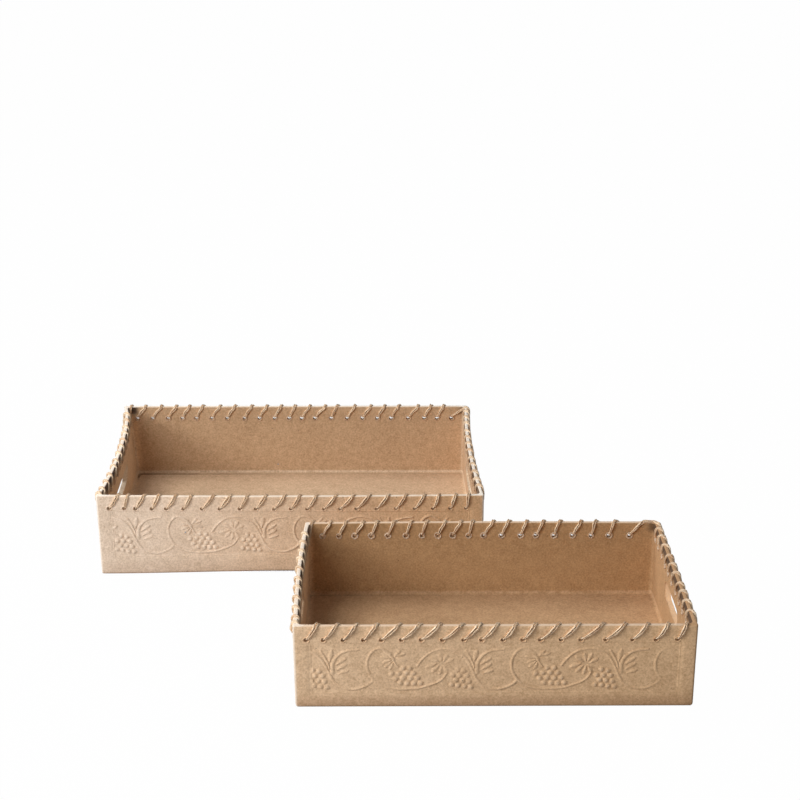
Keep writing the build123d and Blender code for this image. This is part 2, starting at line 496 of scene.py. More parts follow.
def place_panel(tray, sections):
    """The rows and columns of the skin that border the panel."""
    columns = wall_columns(tray, FRONT)
    heights = [height for _, _, height in sections]
    panel_top = tray.height - panel_drop
    outer_rows = [row for row, section in enumerate(sections) if section[0] == 0]
    return Panel(
        first_row=min(outer_rows, key=lambda row: abs(heights[row] - panel_top + panel_height)),
        last_row=min(outer_rows, key=lambda row: abs(heights[row] - panel_top)),
        first_column=int(np.argmin(abs(columns - panel_margin))),
        last_column=int(np.argmin(abs(columns - tray.length + panel_margin))),
    )


def finer(places):
    """The same places with the fine grid's own ones between them."""
    steps = np.arange((len(places) - 1) * fine_steps + 1) / fine_steps
    return np.interp(steps, np.arange(len(places)), places)


def panel_points(tray, panel, sections):
    """The points of the fine grid, row by row, with the panel's relief and the wall's bow."""
    columns = wall_columns(tray, FRONT)[panel.first_column:panel.last_column + 1]
    heights = [height for _, _, height in sections[panel.first_row:panel.last_row + 1]]
    along, up = np.meshgrid(finer(columns), finer(heights))
    out = panel_relief(tray, along - panel_margin, up - up[0, 0])
    corner, _, outward, run = wall_frame(tray, FRONT)
    share = (along - outer_corner) / (run - 2 * outer_corner)
    rise = (up - foot_height) / (tray.height - foot_height)
    out += tray.bows[FRONT] * 4 * share * (1 - share) * rise
    grid = corner + np.stack((along, np.zeros_like(out), up), axis=-1)
    grid = grid + outward * out[..., None]
    return grid + drift(tray, grid)


def number_panel(panel, grid, points, count):
    """Numbers the fine grid's points, and adds to the skin's points those that no ring has."""
    height, width = grid.shape[:2]
    panel.numbers = np.zeros((height, width), dtype=int)
    for row in range(height):
        for column in range(width):
            on_border = row in (0, height - 1) or column in (0, width - 1)
            if on_border and row % fine_steps == 0 and column % fine_steps == 0:
                ring_row = panel.first_row + row // fine_steps
                ring_column = panel.first_column + column // fine_steps
                panel.numbers[row, column] = ring_row * count + ring_column
            else:
                panel.numbers[row, column] = len(points)
                points.append(grid[row, column])


# %% The faces of the panel and of the walls


def panel_faces(panel):
    """The small faces of the fine grid."""
    lower = panel.numbers[:-1]
    upper = panel.numbers[1:]
    quads = np.stack((lower[:, :-1], lower[:, 1:], upper[:, 1:], upper[:, :-1]), axis=-1)
    return [tuple(quad) for quad in quads.reshape(-1, 4).tolist()]


def edge_chain(panel, count, start, end):
    """The points from start up to end, with the panel's fine ones where the edge borders it."""
    start_row, start_column = divmod(start, count)
    end_row, end_column = divmod(end, count)
    low_row, high_row = sorted((start_row, end_row))
    low_column, high_column = sorted((start_column, end_column))
    inside_rows = panel.first_row <= low_row and high_row <= panel.last_row
    inside_columns = panel.first_column <= low_column and high_column <= panel.last_column
    level = low_row == high_row and low_row in (panel.first_row, panel.last_row)
    upright = low_column == high_column and low_column in (panel.first_column, panel.last_column)
    if not (inside_rows and inside_columns and (level or upright)):
        return [start]
    shares = np.arange(fine_steps) / fine_steps
    rows = (start_row - panel.first_row + (end_row - start_row) * shares) * fine_steps
    columns = (start_column - panel.first_column + (end_column - start_column) * shares) * fine_steps
    return panel.numbers[np.round(rows).astype(int), np.round(columns).astype(int)].tolist()


def wall_faces(panel, count, row_count):
    """The faces between the rings, sewn to the fine grid along the panel's border."""
    faces = []
    for row in range(row_count - 1):
        in_rows = panel.first_row <= row < panel.last_row
        near_rows = panel.first_row - 1 <= row <= panel.last_row
        for column in range(count):
            if in_rows and panel.first_column <= column < panel.last_column:
                continue
            after = (column + 1) % count
            below = row * count
            above = below + count
            corners = [below + column, below + after, above + after, above + column]
            if near_rows and panel.first_column - 1 <= column <= panel.last_column:
                pairs = zip(corners, corners[1:] + corners[:1])
                corners = sum((edge_chain(panel, count, *pair) for pair in pairs), [])
            faces.append(tuple(corners))
    return faces


# %% The flat grids under the tray and on its floor
base_grid_inset = 5.0   # how far in they start
floor_grid_inset = 9.0


def grid_border(across, deep):
    """The grid's border places, as (column, row), one for each point of the ring round it."""
    places = []
    for wall, size in ((FRONT, across), (RIGHT, deep), (BACK, across), (LEFT, deep)):
        for step in range(size + corner_steps - 1):
            step = min(step, size - 1)
            places.append({
                FRONT: (step, 0),
                RIGHT: (across - 1, step),
                BACK: (across - 1 - step, deep - 1),
                LEFT: (0, deep - 1 - step),
            }[wall])
    return places


def flat_grid(tray, points, first, inset, height, upward):
    """Closes one end of the skin with a square grid, and joins it to the ring that starts at first."""
    square = ring(tray, inset, 0, height)
    across = len(wall_columns(tray, FRONT))
    deep = len(wall_columns(tray, RIGHT))
    right_start = across + corner_steps - 1
    xs = square[:across, 0]
    ys = square[right_start:right_start + deep, 1]
    base = len(points)
    points += [np.array((x, y, height)) for y in ys for x in xs]

    def number(column, row):
        """The number of one of the grid's points."""
        return base + row * across + column

    faces = []
    border = grid_border(across, deep)
    for step, place in enumerate(border):
        after = (step + 1) % len(border)
        edge = [first + step, first + after, number(*border[after]), number(*place)]
        faces.append(tuple(dict.fromkeys(edge)))
    for row in range(deep - 1):
        for column in range(across - 1):
            faces.append((
                number(column, row), number(column + 1, row),
                number(column + 1, row + 1), number(column, row + 1),
            ))
    return faces if upward else [face[::-1] for face in faces]


# %% The skin as one mesh


def shell_mesh(tray):
    """The closed skin of a tray, with its fine panel let into the front wall."""
    sections = shell_sections(tray)
    loops = [ring(tray, *section) for section in sections]
    count = len(loops[0])
    points = list(np.vstack(loops))
    panel = place_panel(tray, sections)
    number_panel(panel, panel_points(tray, panel, sections), points, count)
    faces = panel_faces(panel) + wall_faces(panel, count, len(sections))
    faces += flat_grid(tray, points, 0, base_grid_inset, 0.0, upward=False)
    floor_start = (len(sections) - 1) * count
    faces += flat_grid(tray, points, floor_start, floor_grid_inset, board, upward=True)

    used = sorted({index for face in faces for index in face})
    renumbered = {index: number for number, index in enumerate(used)}
    mesh = bpy.data.meshes.new(tray.name + "_skin")
    mesh.from_pydata(
        [tuple(points[index] * mm) for index in used], [],
        [tuple(renumbered[index] for index in face) for face in faces])
    return mesh


# %% [markdown]
# ## Geometry Nodes, written in a script
# Holes, torn rings and lace repeat along the walls, so node trees make them. A few helpers keep the
# trees short. One adds a node and links or sets its inputs, and others stand for the usual sums. The
# last one runs a tree on a mesh and keeps the result as a plain mesh, because an exported model
# can't hold a modifier.

# %% Helpers for node trees
sharp_angle = 0.7       # where two faces meet at more than this, in radians, the edge looks sharp


def add_node(tree, kind, inputs=None, **settings):
    """A new node with its settings. An input is linked if it is given a socket, and set otherwise."""
    node = tree.nodes.new(kind)
    for name, value in settings.items():
        setattr(node, name, value)
    for name, value in (inputs or {}).items():
        if isinstance(value, bpy.types.NodeSocket):
            tree.links.new(value, node.inputs[name])
        else:
            node.inputs[name].default_value = value
    return node


def maths(tree, operation, *values):
    """The result socket of a Math node."""
    return add_node(tree, "ShaderNodeMath", dict(enumerate(values)), operation=operation).outputs[0]


def times(tree, *factors):
    """The product of two or more sockets or numbers."""
    product = factors[0]
    for factor in factors[1:]:
        product = maths(tree, "MULTIPLY", product, factor)
    return product


def vector_maths(tree, operation, first, second=None, factor=None):
    """The result socket of a Vector Math node."""
    inputs = {0: first}
    if second is not None:
        inputs[1] = second
    if factor is not None:
        inputs["Scale"] = factor
    return add_node(tree, "ShaderNodeVectorMath", inputs, operation=operation).outputs[0]


def stored(tree, name, kind="FLOAT"):
    """What is stored on the geometry under a name."""
    return add_node(tree, "GeometryNodeInputNamedAttribute", {"Name": name}, data_type=kind).outputs[0]


def store(tree, geometry, name, value, domain="POINT"):
    """The geometry with a number stored on it under a name."""
    node = add_node(tree, "GeometryNodeStoreNamedAttribute", {
        "Geometry": geometry, "Name": name, "Value": value}, data_type="FLOAT", domain=domain)
    return node.outputs[0]


# %% Starting, ending and running a tree


def new_tree(name, **sockets):
    """A geometry tree with named inputs, and the sockets that they arrive on."""
    tree = bpy.data.node_groups.new(name, "GeometryNodeTree")
    tree.interface.new_socket("Geometry", in_out="INPUT", socket_type="NodeSocketGeometry")
    tree.interface.new_socket("Geometry", in_out="OUTPUT", socket_type="NodeSocketGeometry")
    for label, kind in sockets.items():
        label = label.replace("_", " ")
        tree.interface.new_socket(label, in_out="INPUT", socket_type="NodeSocket" + kind)
    return tree, tree.nodes.new("NodeGroupInput").outputs


def end_tree(tree, geometry, finish):
    """The end of every tree: realized, and in its material."""
    realized = add_node(tree, "GeometryNodeRealizeInstances", {0: geometry}).outputs[0]
    finished = add_node(tree, "GeometryNodeSetMaterial", {"Geometry": realized, "Material": finish})
    output = tree.nodes.new("NodeGroupOutput")
    tree.links.new(finished.outputs[0], output.inputs[0])
    print(tree.name, "has", len(tree.nodes), "nodes")


def run_tree(name, data, tree, **values):
    """Runs a tree on a mesh, and gives the result back as one plain, smooth mesh object."""
    source = bpy.data.objects.new(name + "_source", data)
    bpy.context.scene.collection.objects.link(source)
    modifier = source.modifiers.new(tree.name, "NODES")
    modifier.node_group = tree
    for item in tree.interface.items_tree:
        label = item.name.replace(" ", "_")
        if item.in_out == "INPUT" and label in values:
            modifier[item.identifier] = values[label]
    depsgraph = bpy.context.evaluated_depsgraph_get()
    mesh = bpy.data.meshes.new_from_object(source.evaluated_get(depsgraph), depsgraph=depsgraph)
    mesh.name = name
    bpy.data.objects.remove(source)
    piece = bpy.data.objects.new(name, mesh)
    bpy.context.scene.collection.objects.link(piece)
    mesh.shade_smooth()
    mesh.set_sharp_from_angle(angle=sharp_angle)
    print(name, "has", sum(len(face.vertices) - 2 for face in mesh.polygons), "triangles")
    return piece

# %% [markdown]
# ## Holes, and slots torn by hand
# An awl makes a hole through both faces at once, so each cutter is a short bar that points along
# the wall's outward normal. The points that carry the cutters are kept, because the torn rings sit
# on the same ones. The hand slots were cut with a knife through thick soft board, and their edge is
# ragged and pale. Their cutter is a bar whose outline wanders along its length and shrinks outwards,
# as the knife went in at a slant from inside, so the cut face is uneven, as it is on the real tray.

# %% Hole points
back_wide = 1.2         # how wide the back wall's holes are, in shares of the others, on the right
back_tight = 0.85       # and on the left
back_turn = 0.62        # how far along the back wall the change comes


def hole_points(tray):
    """A mesh of one point for each hole, half-way through the wall, that knows which way is out."""
    places = []
    facings = []
    sizes = []
    for wall in range(4):
        outward = wall_frame(tray, wall)[2]
        for along in hole_places(tray, wall):
            place = wall_point(tray, wall, along, tray.height - hole_drop, -board / 2)
            places.append(tuple(place * mm))
            facings.append(tuple(outward))
            size = 1.0
            if wall == BACK:
                size = back_wide if along < tray.length * back_turn else back_tight
            sizes.append(size)
    mesh = bpy.data.meshes.new(tray.name + "_hole_points")
    mesh.from_pydata(places, [], [])
    facing = mesh.attributes.new("facing", "FLOAT_VECTOR", "POINT")
    facing.data.foreach_set("vector", np.array(facings, dtype=np.float32).ravel())
    size = mesh.attributes.new("size", "FLOAT", "POINT")
    size.data.foreach_set("value", np.array(sizes, dtype=np.float32))
    return mesh


# %% Slot cutters
slot_wander = 0.6       # how far the knife strayed
most_wander = 1.2
slow_reach = 9          # over how many steps of the outline it strayed the same way
slot_taper = 0.38       # how much smaller a slot is outside than inside
slot_cell = 1.6
slot_depths = np.linspace(-15, 5, 19)       # from well inside the wall to outside it


def slot_outline(length, height, middle):
    """The round-ended outline of a hand slot, anticlockwise, as (across, up) with small steps."""
    radius = height / 2
    straight = length / 2 - radius
    turns = np.linspace(-pi / 2, pi / 2, round(pi * radius / slot_cell))
    right_end = np.stack((straight + radius * np.cos(turns), radius * np.sin(turns)), axis=1)
    run = spread(straight, -straight, -slot_cell)[1:-1]
    upper = np.stack((run, np.full_like(run, radius)), axis=1)
    half = np.vstack((right_end, upper))
    return np.vstack((half, -half)) + np.array((0, middle))


def slot_cutters(tray):
    """The two ragged bars that open the hand slots."""
    draw = np.random.default_rng(tray.seed)
    outline = slot_outline(*tray.slot)
    count = len(outline)
    middle = outline.mean(axis=0)
    outwards = outline - middle
    outwards /= np.linalg.norm(outwards, axis=1)[:, None]
    points = []
    faces = []
    for side in (-1, 1):
        base = len(points)
        slow = np.convolve(draw.normal(0, 1, count + slow_reach - 1), np.ones(slow_reach) / 3, "valid")
        for depth in slot_depths:
            quick = draw.normal(0, 1, count)
            wander = np.clip(slot_wander * (0.6 * slow + 0.45 * quick), -most_wander, most_wander)
            narrow = 1 - slot_taper * np.clip((depth + board + 2) / board, 0, 1)
            ragged = middle + (outline - middle) * narrow + outwards * wander[:, None]
            for across, up in ragged:
                points.append((tray.centre + (side * (tray.length / 2 + depth), across, up)) * mm)
        for step in range(len(slot_depths) - 1):
            low = base + step * count
            for index in range(count):
                after = (index + 1) % count
                quad = (low + index, low + after, low + count + after, low + count + index)
                faces.append(quad[::side])
        inner_cap = tuple(range(base, base + count))
        outer_cap = tuple(range(len(points) - count, len(points)))
        faces += [inner_cap[::-side], outer_cap[::side]]
    mesh = bpy.data.meshes.new(tray.name + "_slot_cutters")
    mesh.from_pydata([tuple(point) for point in points], [], faces)
    return mesh

# %% The tree that waves the board and pierces it
still_height = 6 * mm       # below this the board waves less and less, so the tray stands flat
awl_sides = 12
awl_length = 14 * mm
torn_hole = 0.25            # how torn the cut faces are, in a hole and in a slot
torn_slot = 1.0

board_tree, given = new_tree(
    "pierced board", Holes="Object", Slots="Object", Hole_width="Float",
    Waviness="Float", Wave_size="Float", Finish="Material")
place = add_node(board_tree, "GeometryNodeInputPosition").outputs[0]
above_table = add_node(board_tree, "ShaderNodeSeparateXYZ", {0: place}).outputs["Z"]
lifted = maths(board_tree, "MINIMUM", maths(board_tree, "DIVIDE", above_table, still_height), 1.0)
wave_scale = maths(board_tree, "DIVIDE", 1.0, given["Wave size"])
wave = add_node(board_tree, "ShaderNodeTexNoise", {"Vector": place, "Scale": wave_scale, "Detail": 2.0})
wave = maths(board_tree, "SUBTRACT", wave.outputs[0], 0.5)
push = times(board_tree, wave, given["Waviness"], lifted)
normal = add_node(board_tree, "GeometryNodeInputNormal").outputs[0]
offset = vector_maths(board_tree, "SCALE", normal, factor=push)
waved = add_node(board_tree, "GeometryNodeSetPosition", {"Geometry": given["Geometry"], "Offset": offset})

hole_info = add_node(board_tree, "GeometryNodeObjectInfo", {"Object": given["Holes"]})
slot_info = add_node(board_tree, "GeometryNodeObjectInfo", {"Object": given["Slots"]})
facing = stored(board_tree, "facing", "FLOAT_VECTOR")
awl_radius = maths(board_tree, "DIVIDE", given["Hole width"], 2.0)
awl = add_node(board_tree, "GeometryNodeMeshCylinder", {
    "Vertices": awl_sides, "Radius": awl_radius, "Depth": awl_length})
awl_turn = add_node(board_tree, "FunctionNodeAlignRotationToVector", {"Vector": facing}, axis="Z")
hole_size = stored(board_tree, "size")
awl_size = add_node(board_tree, "ShaderNodeCombineXYZ", {0: hole_size, 1: hole_size, 2: 1.0})
awl_points = add_node(board_tree, "GeometryNodeMeshToPoints", {0: hole_info.outputs["Geometry"]})
awls = add_node(board_tree, "GeometryNodeInstanceOnPoints", {
    "Points": awl_points.outputs[0], "Instance": awl.outputs["Mesh"],
    "Rotation": awl_turn.outputs[0], "Scale": awl_size.outputs[0]})
awls = add_node(board_tree, "GeometryNodeRealizeInstances", {0: awls.outputs[0]})

torn_awls = store(board_tree, awls.outputs[0], "torn", torn_hole, domain="FACE")
torn_slots = store(board_tree, slot_info.outputs["Geometry"], "torn", torn_slot, domain="FACE")
whole = store(board_tree, waved.outputs[0], "torn", 0.0, domain="FACE")
cutters = add_node(board_tree, "GeometryNodeJoinGeometry")
board_tree.links.new(torn_awls, cutters.inputs[0])
board_tree.links.new(torn_slots, cutters.inputs[0])
pierced = add_node(board_tree, "GeometryNodeMeshBoolean", {
    "Mesh 1": whole, "Mesh 2": cutters.outputs[0]}, operation="DIFFERENCE", solver="EXACT")
end_tree(board_tree, pierced.outputs[0], given["Finish"])

# %% Both shells, pierced
hole_width = 4.1 * mm
waviness = 0.5 * mm
wave_size = 55 * mm


def helper(mesh):
    """An object for a mesh that a tree reads."""
    found = bpy.data.objects.new(mesh.name, mesh)
    bpy.context.scene.collection.objects.link(found)
    return found


hole_marks = {}
shells = {}
board_finishes = {tray.name: bpy.data.materials.new(tray.name + "_paper") for tray in trays}
for tray in trays:
    hole_marks[tray.name] = helper(hole_points(tray))
    slots = helper(slot_cutters(tray))
    shells[tray.name] = run_tree(
        tray.name + "_board", shell_mesh(tray), board_tree,
        Holes=hole_marks[tray.name], Slots=slots, Hole_width=hole_width,
        Waviness=waviness, Wave_size=wave_size, Finish=board_finishes[tray.name])
    bpy.data.objects.remove(slots)

# %% [markdown]
# ## Torn rings round the holes
# Where the awl comes out, it pushes a ring of paper up round the hole, pale because its inside
# shows. A ring is a bent tube of a few dozen faces, put on every hole point by the tree, turned and
# sized at random with a fixed seed, and then roughened with noise, so that no two rings are alike.
# The outside gets the same ring, smaller, because the awl only drags a low lip up there.

# %% The tree for torn rings
ring_steps = 22         # points round a ring, and round its thickness
thickness_steps = 7
tear_scale = 620.0

ring_tree, given = new_tree(
    "torn rings", Ring_width="Float", Ring_thickness="Float", Depth="Float",
    Raggedness="Float", Seed="Int", Finish="Material")
facing = stored(ring_tree, "facing", "FLOAT_VECTOR")
shift = vector_maths(ring_tree, "SCALE", facing, factor=given["Depth"])
shifted = add_node(ring_tree, "GeometryNodeSetPosition", {"Geometry": given["Geometry"], "Offset": shift})
ring_points = add_node(ring_tree, "GeometryNodeMeshToPoints", {0: shifted.outputs[0]})
circle = add_node(ring_tree, "GeometryNodeCurvePrimitiveCircle", {
    "Resolution": ring_steps, "Radius": maths(ring_tree, "DIVIDE", given["Ring width"], 2.0)})
tube = add_node(ring_tree, "GeometryNodeCurvePrimitiveCircle", {
    "Resolution": thickness_steps, "Radius": maths(ring_tree, "DIVIDE", given["Ring thickness"], 2.0)})
one_ring = add_node(ring_tree, "GeometryNodeCurveToMesh", {
    "Curve": circle.outputs[0], "Profile Curve": tube.outputs[0]})
facing_turn = add_node(ring_tree, "FunctionNodeAlignRotationToVector", {"Vector": facing}, axis="Z")
spin = add_node(ring_tree, "FunctionNodeRandomValue", {
    "Min": (0, 0, 0), "Max": (0, 0, 2 * pi), "Seed": given["Seed"]}, data_type="FLOAT_VECTOR")
ring_turn = add_node(ring_tree, "FunctionNodeRotateRotation", {
    "Rotation": facing_turn.outputs[0], "Rotate By": spin.outputs[0]}, rotation_space="LOCAL")
ring_size = add_node(ring_tree, "FunctionNodeRandomValue", {
    "Min": (0.9, 0.9, 0.8), "Max": (1.12, 1.12, 1.3), "Seed": given["Seed"]}, data_type="FLOAT_VECTOR")
placed = add_node(ring_tree, "GeometryNodeInstanceOnPoints", {
    "Points": ring_points.outputs[0], "Instance": one_ring.outputs[0],
    "Rotation": ring_turn.outputs[0], "Scale": ring_size.outputs[0]})
all_rings = add_node(ring_tree, "GeometryNodeRealizeInstances", {0: placed.outputs[0]})
tear = add_node(ring_tree, "ShaderNodeTexNoise", {"Scale": tear_scale, "Detail": 1.5})
tear = vector_maths(ring_tree, "SUBTRACT", tear.outputs["Color"], (0.5, 0.5, 0.5))
tear = vector_maths(ring_tree, "SCALE", tear, factor=given["Raggedness"])
torn_rings = add_node(ring_tree, "GeometryNodeSetPosition", {
    "Geometry": all_rings.outputs[0], "Offset": tear})
end_tree(ring_tree, torn_rings.outputs[0], given["Finish"])

# %% Rings inside and outside
torn_finishes = {tray.name: bpy.data.materials.new(tray.name + "_torn_paper") for tray in trays}
rings = {}
for tray in trays:
    marks = hole_marks[tray.name].data
    rings[tray.name] = [
        run_tree(
            tray.name + "_torn_rings_inside", marks, ring_tree,
            Ring_width=5.4 * mm, Ring_thickness=1.4 * mm, Depth=-(board / 2 + 0.15) * mm,
            Raggedness=1.6 * mm, Seed=tray.seed, Finish=torn_finishes[tray.name]),
        run_tree(
            tray.name + "_torn_rings_outside", marks, ring_tree,
            Ring_width=5.0 * mm, Ring_thickness=1.0 * mm, Depth=(board / 2 - 0.1) * mm,
            Raggedness=0.9 * mm, Seed=tray.seed + 1, Finish=board_finishes[tray.name]),
    ]
    bpy.data.objects.remove(hole_marks[tray.name])

# %% [markdown]
# ## The lace
# One lace goes round each tray: out through a hole, up and over the rim, and down inside to the
# next hole. It was pulled tight by hand, so it hugs the rim and leans differently at each stitch.
# It is two flat plies of paper that lie side by side, squeezed together in a hole and spread in
# between. A plain chain of points is drawn first. Each point knows which way the lace's face looks
# there and how far its plies have spread, and the tree rounds the turns and lays the two plies.

# %% One stitch
lace_off = 0.85         # from the board to the lace's middle line
corner_room = 7.5       # how near a corner a stitch may cross the rim
least_slant = 0.45      # how steeply the lace crosses the rim at least
UP = np.array((0.0, 0.0, 1.0))


def stitch(tray, wall, here, crossing, before, draw):
    """One stitch, from inside a hole over the rim: its points, facings and spreads."""
    outward = wall_frame(tray, wall)[2]
    low = tray.height - hole_drop
    over = tray.height + lace_off
    inner = -board - lace_off
    lift = draw.uniform(0.2, 0.7)
    lean = crossing - here
    slant = max(lean / hole_drop, least_slant)
    belly = here + lean * 0.5 + draw.uniform(-0.4, 0.4)
    spread_out = draw.uniform(0.85, 1.25)
    path = (        # along the wall, height, out from its face, which way the lace faces, spread
        # inside, on its way to the hole, and through it
        (here - (here - before) * 0.17, low + 2.3, inner, -outward, 0.5),
        (here, low + 0.9, -board * 0.85, -UP, 0.2),
        (here + 0.4, low + 0.7, -board * 0.15, -UP, 0.2),
        # outside, from the hole up to the rim
        (here + lean * 0.1 + 0.8, low + 2.0, lace_off, outward, 0.45),
        (belly, low + hole_drop * 0.5, lace_off + lift, outward, spread_out),
        (crossing - 2.3 * slant, tray.height - 1.5, lace_off + 0.2, outward, 1.0),
        # over the rim, and over its inner edge
        (crossing - 0.4, over, -0.4, UP, 0.9),
        (crossing + 1.2 * slant, over, -board + 0.6, UP, 0.85),
        (crossing + 2.4 * slant, tray.height - 1.6, inner, -outward, 0.85),
    )
    return [(wall_point(tray, wall, along, height, out), facing, share)
            for along, height, out, facing, share in path]


# %% Where the lace runs
usual_lean = 0.62
lean_change = 0.13      # how far a lean that wasn't measured may differ from the usual one
long_start = 20.0       # a first hole further than this from its corner


def along_rim(tray, wall, first_hole):
    """Where the first hole is far from the corner, the lace lies on the rim before it goes down."""
    over = tray.height + lace_off
    outward = wall_frame(tray, wall)[2]
    inner = -board - lace_off - 0.3
    return [
        (wall_point(tray, wall, 4.5, over, -board * 0.6), UP, 0.9),
        (wall_point(tray, wall, first_hole - 14, over, -board * 0.6), UP, 1.1),
        (wall_point(tray, wall, first_hole - 9, tray.height - 1.5, inner), -outward, 1.0),
    ]


def lace_chain(tray):
    """The chain of points, facings and spreads that the whole lace follows, in mm."""
    draw = random.Random(tray.seed)
    low = tray.height - hole_drop
    inner = -board - lace_off
    left_in = -wall_frame(tray, LEFT)[2]
    first_hole = hole_places(tray, LEFT)[0]
    chain = [(wall_point(tray, LEFT, first_hole + 1.0, low - 4.5, inner), left_in, 0.9)]
    for wall in (LEFT, FRONT, RIGHT, BACK):
        run = wall_frame(tray, wall)[3]
        usual = tray.back_lean if wall == BACK else usual_lean
        holes = list(hole_places(tray, wall))
        before = holes[0] - 5.0
        if holes[0] > long_start:
            chain = chain[:-2] + along_rim(tray, wall, holes[0])
        for index, (here, there) in enumerate(zip(holes, holes[1:] + [run])):
            if tray.leans[wall]:
                lean = tray.leans[wall][index]
            else:
                lean = usual + draw.uniform(-lean_change, lean_change)
            crossing = min(here + lean * (there - here), run - corner_room)
            chain += stitch(tray, wall, here, crossing, before, draw)
            before = crossing + 1.5
            if there < run:
                half_way = before + (there - crossing - 1.5) * 0.5 + draw.uniform(-0.3, 0.3)
                out = inner - draw.uniform(0, 0.3)
                place = wall_point(tray, wall, half_way, low + hole_drop * 0.55, out)
                chain.append((place, chain[-1][1], draw.uniform(0.6, 1.0)))
    chain += [
        (wall_point(tray, LEFT, corner_room + 0.5, low + 4.0, inner - 0.4), left_in, 0.7),
        (wall_point(tray, LEFT, first_hole - 1.6, low - 0.6, inner), left_in, 0.6),
        (wall_point(tray, LEFT, first_hole - 1.2, low - 5.5, inner), left_in, 0.9),
    ]
    return chain


def chain_mesh(name, chain):
    """The chain as a mesh of edges, with its facings and spreads on the points."""
    mesh = bpy.data.meshes.new(name)
    places = [tuple(place * mm) for place, _, _ in chain]
    mesh.from_pydata(places, [(step, step + 1) for step in range(len(chain) - 1)], [])
    facings = np.array([facing for _, facing, _ in chain], dtype=np.float32)
    mesh.attributes.new("face", "FLOAT_VECTOR", "POINT").data.foreach_set("vector", facings.ravel())
    spreads = np.array([share for _, _, share in chain], dtype=np.float32)
    mesh.attributes.new("spread", "FLOAT", "POINT").data.foreach_set("value", spreads)
    return mesh

# %% The line that the plies follow
turn_steps = 4          # how finely each turn of the lace is rounded

lace_tree, given = new_tree(
    "two plies", Ply_width="Float", Ply_thickness="Float", Ply_distance="Float",
    Turn_radius="Float", Step="Float", Seed="Float", Finish="Material")
line = add_node(lace_tree, "GeometryNodeMeshToCurve", {0: given["Geometry"]})
rounded = add_node(lace_tree, "GeometryNodeFilletCurve", {
    "Curve": line.outputs[0], "Count": turn_steps, "Radius": given["Turn radius"],
    "Limit Radius": True}, mode="POLY")
sampled = add_node(lace_tree, "GeometryNodeResampleCurve", {
    "Curve": rounded.outputs[0], "Length": given["Step"]}, mode="LENGTH")
run_length = add_node(lace_tree, "GeometryNodeSplineParameter").outputs["Length"]
measured = store(lace_tree, sampled.outputs[0], "along", run_length)
tangent = add_node(lace_tree, "GeometryNodeInputTangent").outputs[0]
face = stored(lace_tree, "face", "FLOAT_VECTOR")
side = vector_maths(lace_tree, "NORMALIZE", vector_maths(lace_tree, "CROSS_PRODUCT", tangent, face))
front = vector_maths(lace_tree, "CROSS_PRODUCT", side, tangent)

# %% The cross-section of a ply
ply_sides = 8

circle = add_node(lace_tree, "GeometryNodeCurvePrimitiveCircle", {"Resolution": ply_sides, "Radius": 0.5})
flat_size = add_node(lace_tree, "ShaderNodeCombineXYZ", {
    0: given["Ply width"], 1: given["Ply thickness"], 2: 1.0})
flattened = add_node(lace_tree, "GeometryNodeTransform", {
    "Geometry": circle.outputs[0], "Scale": flat_size.outputs[0]})
round_share = add_node(lace_tree, "GeometryNodeSplineParameter").outputs["Factor"]
section = store(lace_tree, flattened.outputs[0], "around", round_share)
place = add_node(lace_tree, "GeometryNodeInputPosition").outputs[0]
across = add_node(lace_tree, "ShaderNodeSeparateXYZ", {0: place}).outputs["X"]
ply_reach = times(lace_tree, given["Ply width"], 0.5)
edge_share = maths(lace_tree, "DIVIDE", maths(lace_tree, "ABSOLUTE", across), ply_reach)
section = store(lace_tree, section, "edge", edge_share)

# %% How the plies turn and part
least_fatness = 0.62    # of a ply that is drawn tight, and how much more a loose one has
loose_fatness = 0.42
turn_depth = 0.7        # how far the plies go behind each other, in shares of their distance


def wander(per_metre, shift):
    """Noise round nought, about a third either way, that changes slowly along the lace."""
    shifted = maths(lace_tree, "ADD", given["Seed"], shift)
    place = maths(lace_tree, "ADD", times(lace_tree, run_length, per_metre), shifted)
    found = add_node(lace_tree, "ShaderNodeTexNoise", {
        "W": place, "Scale": 1.0, "Detail": 1.0}, noise_dimensions="1D")
    return maths(lace_tree, "SUBTRACT", found.outputs[0], 0.5)


open_share = stored(lace_tree, "spread")
parting = maths(lace_tree, "SUBTRACT", wander(60.0, 40.0), 0.08)
parting = times(lace_tree, maths(lace_tree, "MAXIMUM", parting, 0.0), 2.4)
opened = times(lace_tree, open_share, maths(lace_tree, "ADD", 1.0, parting))
distance = times(lace_tree, times(lace_tree, given["Ply distance"], 0.5), opened)
angle = times(lace_tree, wander(55.0, 0.0), 2.0)
fatness = maths(lace_tree, "ADD", least_fatness, times(lace_tree, open_share, loose_fatness))

